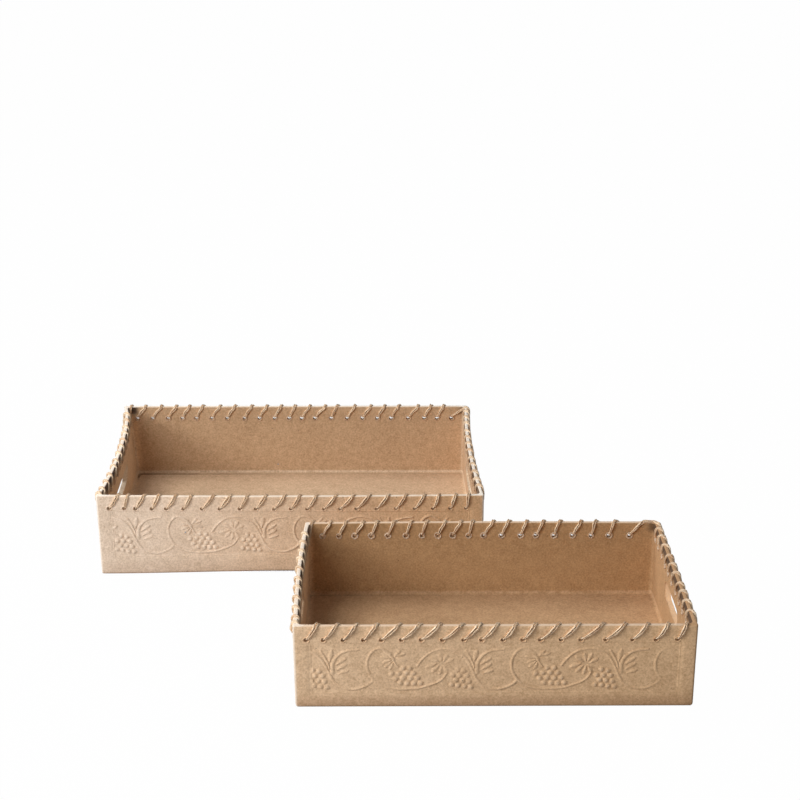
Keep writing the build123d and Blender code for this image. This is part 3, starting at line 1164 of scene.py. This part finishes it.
# %% Both plies
plies = add_node(lace_tree, "GeometryNodeJoinGeometry")
for ply, turn in enumerate((0.0, pi)):
    ply_angle = maths(lace_tree, "ADD", angle, turn)
    sideways = times(lace_tree, maths(lace_tree, "COSINE", ply_angle), distance)
    sideways = vector_maths(lace_tree, "SCALE", side, factor=sideways)
    depth = times(lace_tree, distance, turn_depth)
    forwards = times(lace_tree, maths(lace_tree, "SINE", ply_angle), depth)
    forwards = vector_maths(lace_tree, "SCALE", front, factor=forwards)
    uneven = times(lace_tree, wander(140.0, 20.0 + 9 * ply), 0.4)
    shaped = store(lace_tree, measured, "fatness", maths(lace_tree, "ADD", fatness, uneven))
    turned = add_node(lace_tree, "GeometryNodeSetCurveNormal", {
        "Curve": shaped, "Normal": front}, mode="FREE")
    laid = add_node(lace_tree, "GeometryNodeSetPosition", {
        "Geometry": turned.outputs[0],
        "Offset": vector_maths(lace_tree, "ADD", sideways, forwards)})
    swept = add_node(lace_tree, "GeometryNodeCurveToMesh", {
        "Curve": laid.outputs[0], "Profile Curve": section,
        "Scale": stored(lace_tree, "fatness"), "Fill Caps": True})
    lace_tree.links.new(swept.outputs[0], plies.inputs[0])
end_tree(lace_tree, plies.outputs[0], given["Finish"])

# %% Both laces
lace_finish = bpy.data.materials.new("paper_lace")
laces = {}
for tray in trays:
    chain = lace_chain(tray)
    laces[tray.name] = run_tree(
        tray.name + "_twisted_lace", chain_mesh(tray.name + "_lace_line", chain), lace_tree,
        Ply_width=2.1 * mm, Ply_thickness=1.35 * mm, Ply_distance=1.8 * mm,
        Turn_radius=1.6 * mm, Step=0.85 * mm, Seed=float(tray.seed), Finish=lace_finish)
    places = np.array([place for place, _, _ in chain])
    lengths = np.linalg.norm(np.diff(places, axis=0), axis=1)
    print(tray.name, "lace runs", round(lengths.sum()), "mm")

# %% [markdown]
# ## Where the board is worn, and which side it is
# The outside of the board is paler than the inside, and its rim is rubbed nearly white. A finish
# can't tell one side of a wall from the other, so each point of the mesh is told here: how far in
# from the outer face it lies, and how near the rim it is. The upright corners are rubbed pale too,
# and so is the scroll, which stands out of the front wall. The board inside the holes is painted dark
# as painted shade. Where floor and wall meet, a paper strip is glued in. Its edge gets a painted
# highlight above a line of painted shade, so each inner point learns how far up or down from that fold it
# is.

# %% Helpers for marks


def soft_step(values, low, high):
    """Nought below low, one above high, and a smooth rise between."""
    share = np.clip((values - low) / (high - low), 0, 1)
    return share * share * (3 - 2 * share)


def board_depth(tray, points):
    """How far each point, in mm, lies in from the tray's outer face."""
    out = np.full(len(points), -1e9)
    share = np.maximum(points[:, 2] - foot_height, 0) / (tray.height - foot_height)
    points = points - drift(tray, points)
    for wall in range(4):
        corner, direction, outward, run = wall_frame(tray, wall)
        along = (points - corner) @ direction
        middle_share = np.clip(1 - ((along - run / 2) / (run / 2 - outer_corner)) ** 2, 0, 1)
        bow = tray.bows[wall] * middle_share * share
        out = np.maximum(out, (points - corner) @ outward - bow)
    return -out


def corner_share(tray, points):
    """One on the upright corners, and nought more than two millimetres from them."""
    flat = points - drift(tray, points) - tray.centre
    from_side = tray.length / 2 - abs(flat[:, 0])
    from_end = tray.width / 2 - abs(flat[:, 1])
    lean = np.maximum(flat[:, 2] - foot_height, 0) / (tray.height - foot_height)
    gap = abs(from_side - from_end)
    near = np.maximum(from_side, from_end)
    return (1 - soft_step(gap, 0.8, 2.2)) * (1 - soft_step(near, 6.5, 8.0)) * (0.75 + 0.25 * lean)


def mark(mesh, name, values):
    """Stores one number for each point of the mesh."""
    found = mesh.attributes.new(name, "FLOAT", "POINT")
    found.data.foreach_set("value", values.astype(np.float32))


# %% Marks on the shells
fold_reach = 9          # in mm; further than this from the fold, a point counts as clear of it

for tray in trays:
    mesh = shells[tray.name].data
    flat = np.zeros(len(mesh.vertices) * 3)
    mesh.vertices.foreach_get("co", flat)
    points = flat.reshape(-1, 3) / mm
    depth = board_depth(tray, points)
    below_rim = tray.height - points[:, 2]
    inside = soft_step(depth, 2.6, 3.9) * soft_step(points[:, 2], 2.0, 3.5)
    worn = 1 - soft_step(below_rim, 0.1, 0.6)
    corner = corner_share(tray, points)
    mark(mesh, "inside", inside)
    mark(mesh, "worn", np.maximum(worn, corner * (1 - inside)))
    mark(mesh, "crease", corner * inside)
    # what stands out of the front wall is the scroll
    in_front = points[:, 1] < tray.centre[1]
    mark(mesh, "raised", soft_step(-depth / tray.relief, 0.15, 0.8) * in_front)
    # what lies within the board, a little below the rim, is the wall of a hole, painted dark as painted
    # shade
    in_board = soft_step(depth, 0.5, 1.2) * (1 - soft_step(depth, 2.8, 3.6))
    at_holes = soft_step(below_rim, 6, 8) * (1 - soft_step(below_rim, 20, 22))
    mark(mesh, "pierced", in_board * at_holes)
    # how far each inner point is from the fold, for the painted highlight and painted shade along the glued
    # strip
    fold = np.clip(points[:, 2] - depth, -fold_reach, fold_reach)
    mark(mesh, "fold", np.where(inside > 0.3, fold, fold_reach))
    print(mesh.name, "points inside", int((inside > 0.5).sum()), "worn", int((worn > 0.5).sum()))

# %% [markdown]
# ## The finishes
# Handmade board is grey-brown pulp with flecks, fibres and uneven dye, so its colour needs several
# sizes of noise at once: clouds of some centimetres, mottle of some millimetres, and a fine grain.
# The same grain drives a shallow bump, which keeps the light and the colour in step. Everything is
# worked out from the object's own coordinates, so nothing slides when the camera moves.

# %% Helpers for finishes


def srgb(red, green, blue):
    """A colour as it is picked on a screen, from 0 to 255, in the linear form that shaders use."""
    shares = np.array((red, green, blue)) / 255
    linear = np.where(shares <= 0.04045, shares / 12.92, ((shares + 0.055) / 1.055) ** 2.4)
    return (*linear, 1.0)


def start_finish(material, roughness, sheen):
    """Clears a material, and gives its node tree and its shader."""
    material.use_nodes = True
    tree = material.node_tree
    tree.nodes.clear()
    shader = add_node(tree, "ShaderNodeBsdfPrincipled", {
        "Roughness": roughness, "Specular IOR Level": 0.25, "Sheen Weight": sheen, "Sheen Roughness": 0.6})
    output = tree.nodes.new("ShaderNodeOutputMaterial")
    tree.links.new(shader.outputs[0], output.inputs[0])
    return tree, shader


def noise(tree, place, size, detail=2.0, roughness=0.5):
    """Noise from nought to one whose patches are about size across, in metres."""
    return add_node(tree, "ShaderNodeTexNoise", {
        "Vector": place, "Scale": 1 / size, "Detail": detail, "Roughness": roughness}).outputs[0]


def ranged(tree, value, low, high, to_low=0.0, to_high=1.0):
    """A value brought smoothly from one range to another."""
    return add_node(tree, "ShaderNodeMapRange", {
        0: value, 1: low, 2: high, 3: to_low, 4: to_high}, interpolation_type="SMOOTHSTEP").outputs[0]


def blend(tree, share, first, second, kind="MIX"):
    """A mix of two colours, each a socket or a value."""
    mixed = add_node(tree, "ShaderNodeMix", {
        0: share, 6: first, 7: second}, data_type="RGBA", blend_type=kind)
    return mixed.outputs[2]


def attribute(tree, name):
    """A number stored on the mesh."""
    return add_node(tree, "ShaderNodeAttribute", attribute_name=name).outputs["Fac"]


def flecks(tree, place, spacing, radius, share):
    """Scattered round flecks: one in the middle of each flecked spot, nought elsewhere."""
    cells = add_node(tree, "ShaderNodeTexVoronoi", {"Vector": place, "Scale": 1 / spacing})
    size = radius / spacing
    spot = ranged(tree, cells.outputs["Distance"], size * 0.6, size, 1.0, 0.0)
    pick = add_node(tree, "ShaderNodeSeparateColor", {0: cells.outputs["Color"]})
    chosen = maths(tree, "LESS_THAN", pick.outputs[0], share)
    return times(tree, spot, chosen), pick


def add_bump(tree, shader, height, distance, strength):
    """Bump from a height, in metres at full strength."""
    bump = add_node(tree, "ShaderNodeBump", {"Height": height, "Distance": distance, "Strength": strength})
    tree.links.new(bump.outputs[0], shader.inputs["Normal"])


# %% The colours of the board
# painted light on the inner face of the left wall
left_wall_painted_light = srgb(240, 208, 172)       # the inner face of the left wall, which faces away from the lamps
# painted shade in the gap below the glued strip's edge
gap_shade_colour = srgb(112, 78, 48)
# browner board near the table, and the underside's brown stain with a painted contact shadow in it
foot_colour = srgb(140, 88, 46)
# painted shade on the walls of the holes
hole_shade_colour = srgb(58, 34, 18)
# painted shade under the lacing of the end walls
shade_colour = srgb(46, 24, 12)         # under the lacing of the end walls


@dataclass
class Paper:
    """The colours of one tray's board."""
    # the outside is painted paler towards the left end, as a painted sheen where the lamps' light falls
    left_end: tuple         # outside, from one end of the tray to the other
    right_end: tuple
    inside: tuple
    floor: tuple
    worn: tuple
    torn: tuple
    left_rim: tuple
    right_rim: tuple
    ring: tuple             # dark and pale torn paper round the holes
    # gap: how dark the painted shade is in the gap at the foot of the back wall
    gap: float              # how dark the gap at the foot of the back wall is
    foot: float             # how much browner the board is near the table


papers = {
    "large_tray": Paper(
        left_end=srgb(226, 204, 183), right_end=srgb(219, 180, 139),
        inside=srgb(199, 166, 132), floor=srgb(201, 171, 140),
        worn=srgb(238, 222, 204), torn=srgb(236, 218, 194),
        left_rim=srgb(246, 233, 220), right_rim=srgb(250, 240, 228),
        ring=(srgb(176, 140, 108), srgb(218, 190, 160)), gap=0.75, foot=0.12),
    "small_tray": Paper(
        left_end=srgb(230, 196, 160), right_end=srgb(229, 190, 148),
        inside=srgb(186, 148, 107), floor=srgb(190, 153, 115),
        worn=srgb(228, 202, 176), torn=srgb(206, 172, 138),
        left_rim=srgb(240, 225, 209), right_rim=srgb(194, 154, 114),
        ring=(srgb(176, 140, 106), srgb(232, 214, 194)), gap=0.2, foot=0.32),
}

# %% Colour by side with painted light, and painted highlight and shade along the fold


def side_colours(tree, colours, sides, left_end, low, high):
    """Outside, a painted sheen that pales the board towards its left end. Inside, the walls, the floor, and
    painted light on the left wall.
    """
    # painted sheen: the outside grows paler towards its left end
    painted_sheen_share = ranged(tree, sides["X"], low[0], high[0], 1.0, 0.0)
    outside_paper = blend(tree, painted_sheen_share, colours.right_end, colours.left_end)
    floor_share = ranged(tree, sides["Z"], board * 1.15 * mm, board * 1.5 * mm, 1.0, 0.0)
    inside_paper = blend(tree, floor_share, colours.inside, colours.floor)
    # painted light: the left wall's inner face is painted paler
    inside_paper = blend(tree, times(tree, left_end, 0.75), inside_paper, left_wall_painted_light)
    return blend(tree, attribute(tree, "inside"), outside_paper, inside_paper)


def fold_light_and_shade(tree, paper, colours, sides, mottle, low, high):
    """A painted highlight on the strip's edge above the fold, and painted shade in the gap below it along
    the back wall.
    """
    fold = attribute(tree, "fold")
    # painted highlight on the strip's edge above the fold
    above = times(tree, ranged(tree, fold, 0.4, 1.4), ranged(tree, fold, 3.0, 4.4, 1.0, 0.0))
    strip_highlight = times(tree, above, ranged(tree, mottle, 0.35, 0.6, 0.25, 0.6))
    paper = blend(tree, strip_highlight, paper, colours.torn)
    # painted shade in the gap below it, along the back wall
    below = times(tree, ranged(tree, fold, -4.2, -3.0), ranged(tree, fold, -1.4, -0.2, 1.0, 0.0))
    near_back = ranged(tree, sides["Y"], high[1] - 24 * mm, high[1] - 14 * mm)
    patchy = ranged(tree, mottle, 0.35, 0.6, 0.3, colours.gap)
    length = high[0] - low[0]
    fading = ranged(tree, sides["X"], low[0] + 0.1 * length, low[0] + 0.5 * length, 1.0, 0.35)
    return blend(tree, times(tree, below, near_back, patchy, fading), paper, gap_shade_colour)


# %% Rubbed and shaded places, and specks


def shaded_places(tree, paper, colours, sides, left_end, right_end, high):
    """Creases and scroll rubbed pale, a browner foot, painted shade in the holes and under the lacing, and a
    brown stain with a painted contact shadow along the underside.
    """
    inside = attribute(tree, "inside")
    paper = blend(tree, times(tree, attribute(tree, "crease"), 0.25), paper, colours.torn)
    paper = blend(tree, times(tree, attribute(tree, "raised"), 0.4), paper, colours.worn)
    foot_share = ranged(tree, sides["Z"], 3 * mm, 18 * mm, colours.foot, 0.0)
    foot_share = times(tree, foot_share, maths(tree, "SUBTRACT", 1.0, inside))
    paper = blend(tree, foot_share, paper, foot_colour)
    # painted shade on the walls of the holes
    paper = blend(tree, times(tree, attribute(tree, "pierced"), 0.85), paper, hole_shade_colour)
    # painted shade on the inner faces of the end walls, under the lacing near the rim
    both_ends = maths(tree, "MAXIMUM", left_end, times(tree, right_end, 0.9))
    near_rim = ranged(tree, sides["Z"], high[2] - 13 * mm, high[2] - 5 * mm)
    painted_lace_shade = times(tree, inside, both_ends, near_rim, 0.95)
    paper = blend(tree, painted_lace_shade, paper, shade_colour)
    # a brown stain along the underside, partly a painted contact shadow
    stain_and_contact_shade = ranged(tree, sides["Z"], 0.5 * mm, 2.1 * mm, 0.85, 0.0)
    return blend(tree, stain_and_contact_shade, paper, foot_colour)


def with_flecks(tree, paper, place):
    """Dark specks, pale flecks, and a few fibres in blue or orange."""
    specks, _ = flecks(tree, place, 9 * mm, 0.6 * mm, 0.3)
    paper = blend(tree, times(tree, specks, 0.75), paper, srgb(84, 60, 44))
    pale_flecks, _ = flecks(tree, place, 7 * mm, 0.7 * mm, 0.35)
    paper = blend(tree, times(tree, pale_flecks, 0.3), paper, srgb(228, 206, 178))
    fibres, pick = flecks(tree, place, 38 * mm, 0.9 * mm, 0.16)
    is_orange = maths(tree, "GREATER_THAN", pick.outputs[1], 0.5)
    fibre_colour = blend(tree, is_orange, srgb(70, 130, 165), srgb(214, 140, 70))
    return blend(tree, times(tree, fibres, 0.7), paper, fibre_colour)


# %% Pressed board
channel_change = (0.85, 1.0, 1.2)       # red changes least from patch to patch, and blue most


def pressed_board(material, colours, low, high):
    """Mottled pulp board, worn pale at the rim, with specks and a few coloured fibres in it."""
    tree, shader = start_finish(material, roughness=0.86, sheen=0.06)
    place = add_node(tree, "ShaderNodeTexCoord").outputs["Object"]
    sides = add_node(tree, "ShaderNodeSeparateXYZ", {0: place}).outputs
    left_end = ranged(tree, sides["X"], low[0] + 7 * mm, low[0] + 14 * mm, 1.0, 0.0)
    right_end = ranged(tree, sides["X"], high[0] - 18 * mm, high[0] - 8 * mm)
    clouds = noise(tree, place, 60 * mm, 2.0)
    mottle = noise(tree, place, 7 * mm, 4.0, 0.65)
    grain = noise(tree, place, 1.7 * mm, 3.0, 0.65)
    change = 0.0
    for layer, strength in ((clouds, 0.25), (mottle, 0.5), (grain, 1.15)):
        centred = maths(tree, "SUBTRACT", layer, 0.5)
        change = maths(tree, "ADD", change, times(tree, centred, strength))
    shade = add_node(tree, "ShaderNodeCombineXYZ", {
        channel: maths(tree, "ADD", 1.0, times(tree, change, strength))
        for channel, strength in enumerate(channel_change)})

    paper = side_colours(tree, colours, sides, left_end, low, high)
    paper = fold_light_and_shade(tree, paper, colours, sides, mottle, low, high)
    paper = shaded_places(tree, paper, colours, sides, left_end, right_end, high)
    paper = blend(tree, 1.0, paper, shade.outputs[0], "MULTIPLY")
    paper = with_flecks(tree, paper, place)
    rubbed = times(tree, attribute(tree, "worn"), ranged(tree, mottle, 0.3, 0.5, 0.72, 1.0))
    worn = blend(tree, left_end, colours.worn, colours.left_rim)
    worn = blend(tree, right_end, worn, colours.right_rim)
    paper = blend(tree, rubbed, paper, worn)
    ragged = times(tree, attribute(tree, "torn"), ranged(tree, grain, 0.38, 0.56, 0.15, 1.0))
    paper = blend(tree, ragged, paper, colours.torn)
    tree.links.new(paper, shader.inputs["Base Color"])
    height = maths(tree, "ADD", times(tree, grain, 0.55), times(tree, mottle, 0.45))
    add_bump(tree, shader, height, 0.5 * mm, 0.6)
    print(material.name, "has", len(tree.nodes), "nodes")


for tray in trays:
    low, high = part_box(tray.name)
    pressed_board(board_finishes[tray.name], papers[tray.name], low, high)

# %% Torn paper of the rings
for tray in trays:
    tree, shader = start_finish(torn_finishes[tray.name], roughness=0.9, sheen=0.1)
    place = add_node(tree, "ShaderNodeTexCoord").outputs["Object"]
    fluff = noise(tree, place, 1.0 * mm, 3.0, 0.6)
    dark, pale = papers[tray.name].ring
    colour = blend(tree, ranged(tree, fluff, 0.35, 0.65), dark, pale)
    tree.links.new(colour, shader.inputs["Base Color"])
    add_bump(tree, shader, fluff, 0.3 * mm, 0.6)

# %% [markdown]
# ## Paper of the lace
# The lace is a strip of kraft paper twisted into string. Its fibres run along each strand, with
# creases that wind round it, so its noise is stretched along the strand. The two attributes that the
# tree left, along and around, make that easy: together they are a flat map of the strand's skin.
# Each ply's edges are painted dark as painted shade, which draws the line between the two.

# %% Lace finish
twist = 25.0            # turns of the creases per metre
stretch = 55.0          # how much of the noise comes with each metre of lace

tree, shader = start_finish(lace_finish, roughness=0.72, sheen=0.02)
along = attribute(tree, "along")
around = attribute(tree, "around")
turned = maths(tree, "ADD", around, times(tree, along, twist))
turned = times(tree, turned, 2 * pi)
strand_map = add_node(tree, "ShaderNodeCombineXYZ", {
    0: times(tree, along, stretch), 1: maths(tree, "COSINE", turned), 2: maths(tree, "SINE", turned)})
creases = noise(tree, strand_map.outputs[0], 0.9, 3.0, 0.6)
fibres = noise(tree, strand_map.outputs[0], 0.22, 2.0, 0.5)
place = add_node(tree, "ShaderNodeTexCoord").outputs["Object"]
patches = noise(tree, place, 9 * mm, 2.0)
colour = blend(tree, ranged(tree, creases, 0.3, 0.52), srgb(208, 158, 114), srgb(255, 236, 208))
colour = blend(tree, ranged(tree, patches, 0.3, 0.7, 0.0, 0.3), colour, srgb(214, 174, 132))
# painted shade along the edges of each ply
edge_shade = ranged(tree, attribute(tree, "edge"), 0.7, 1.0, 0.0, 0.62)
colour = blend(tree, edge_shade, colour, srgb(124, 70, 34))
tree.links.new(colour, shader.inputs["Base Color"])
height = maths(tree, "ADD", creases, times(tree, fibres, 0.4))
add_bump(tree, shader, height, 0.5 * mm, 0.7)
print(lace_finish.name, "has", len(tree.nodes), "nodes")

# %% [markdown]
# ## Which piece stands for which solid
# Every piece rides on the one body, because nothing on a tray moves. The shells and the laces stand
# for the CAD solids of the same parts, which stay behind them for the simulation.

# %% Pieces and the frame
for tray in trays:
    shell = shells[tray.name]
    lace = laces[tray.name]
    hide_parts(tray.name)
    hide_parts(tray.name + "_lace")
    for piece in (shell, *rings[tray.name]):
        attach(piece, "root")
    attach(lace, "root")

# %% [markdown]
# ## The table and the light
# The photograph was taken on white, with soft lamps at the upper left that fade towards the right,
# and light from the white room filling the rest. Three lamps copy that: one in front on the left,
# one high above, and one low on the left. The table throws a little light up at the walls. To the
# camera it shines by itself, so that it stays white and the shadow on it stays faint, as it is in
# the photograph.

# %% Table
table_reach = 6.0       # in metres, from the middle to each side
table_grey = (0.5, 0.5, 0.5, 1)
own_light = 0.99        # how much of the table's white is its own, where the camera sees it


def seen_directly(tree):
    """One where the camera sees a surface, itself or in a mirror, and nought for stray light."""
    ray = add_node(tree, "ShaderNodeLightPath").outputs
    mirrored = maths(tree, "MAXIMUM", ray["Is Glossy Ray"], ray["Is Transmission Ray"])
    return maths(tree, "MAXIMUM", ray["Is Camera Ray"], mirrored)


table_mesh = bpy.data.meshes.new("table")
corners = [(x * table_reach, y * table_reach, 0) for x, y in ((-1, -1), (1, -1), (1, 1), (-1, 1))]
table_mesh.from_pydata(corners, [], [(0, 1, 2, 3)])
table = bpy.data.objects.new("table", table_mesh)
bpy.context.scene.collection.objects.link(table)

table_finish = bpy.data.materials.new("white_table")
table_finish.use_nodes = True
tree = table_finish.node_tree
tree.nodes.clear()
plain = add_node(tree, "ShaderNodeBsdfDiffuse", {"Color": table_grey})
glow = add_node(tree, "ShaderNodeEmission", {"Color": (1, 1, 1, 1), "Strength": 1.0})
mixed = add_node(tree, "ShaderNodeMixShader", {
    0: times(tree, seen_directly(tree), own_light), 1: plain.outputs[0], 2: glow.outputs[0]})
output = tree.nodes.new("ShaderNodeOutputMaterial")
tree.links.new(mixed.outputs[0], output.inputs[0])
table_mesh.materials.append(table_finish)

# %% The white room
room_light = 0.17       # what the room gives to the trays, in shares of what the camera sees

world = bpy.data.worlds.new("white_room")
bpy.context.scene.world = world
world.use_nodes = True
tree = world.node_tree
tree.nodes.clear()
strength = maths(tree, "ADD", room_light, times(tree, seen_directly(tree), 1 - room_light))
room = add_node(tree, "ShaderNodeBackground", {"Color": (1, 1, 1, 1), "Strength": strength})
output = tree.nodes.new("ShaderNodeOutputWorld")
tree.links.new(room.outputs[0], output.inputs[0])

# %% Lamps
lamp_aim = Vector((0.0, 0.0, 0.04))
lamp_colour = (1.0, 0.985, 0.96)
lamps = (       # name, place, size in metres, power in watts
    ("front_lamp", Vector((-0.85, -1.1, 1.05)), 0.8, 10.5),
    ("top_lamp", Vector((-0.75, 0.35, 1.38)), 0.8, 12.8),
    ("left_lamp", Vector((-1.3, -0.85, 0.7)), 0.4, 10.2),
)

for name, lamp_place, size, power in lamps:
    lamp_data = bpy.data.lights.new(name, "AREA")
    lamp_data.size = size
    lamp_data.energy = power
    lamp_data.color = lamp_colour
    lamp = bpy.data.objects.new(name, lamp_data)
    lamp.rotation_euler = (lamp_aim - lamp_place).to_track_quat("-Z", "Y").to_euler()
    lamp.location = lamp_place
    bpy.context.scene.collection.objects.link(lamp)
    print(name, "stands", round((lamp_place - lamp_aim).length, 2), "m away")
bpy.context.scene.view_settings.view_transform = "Standard"
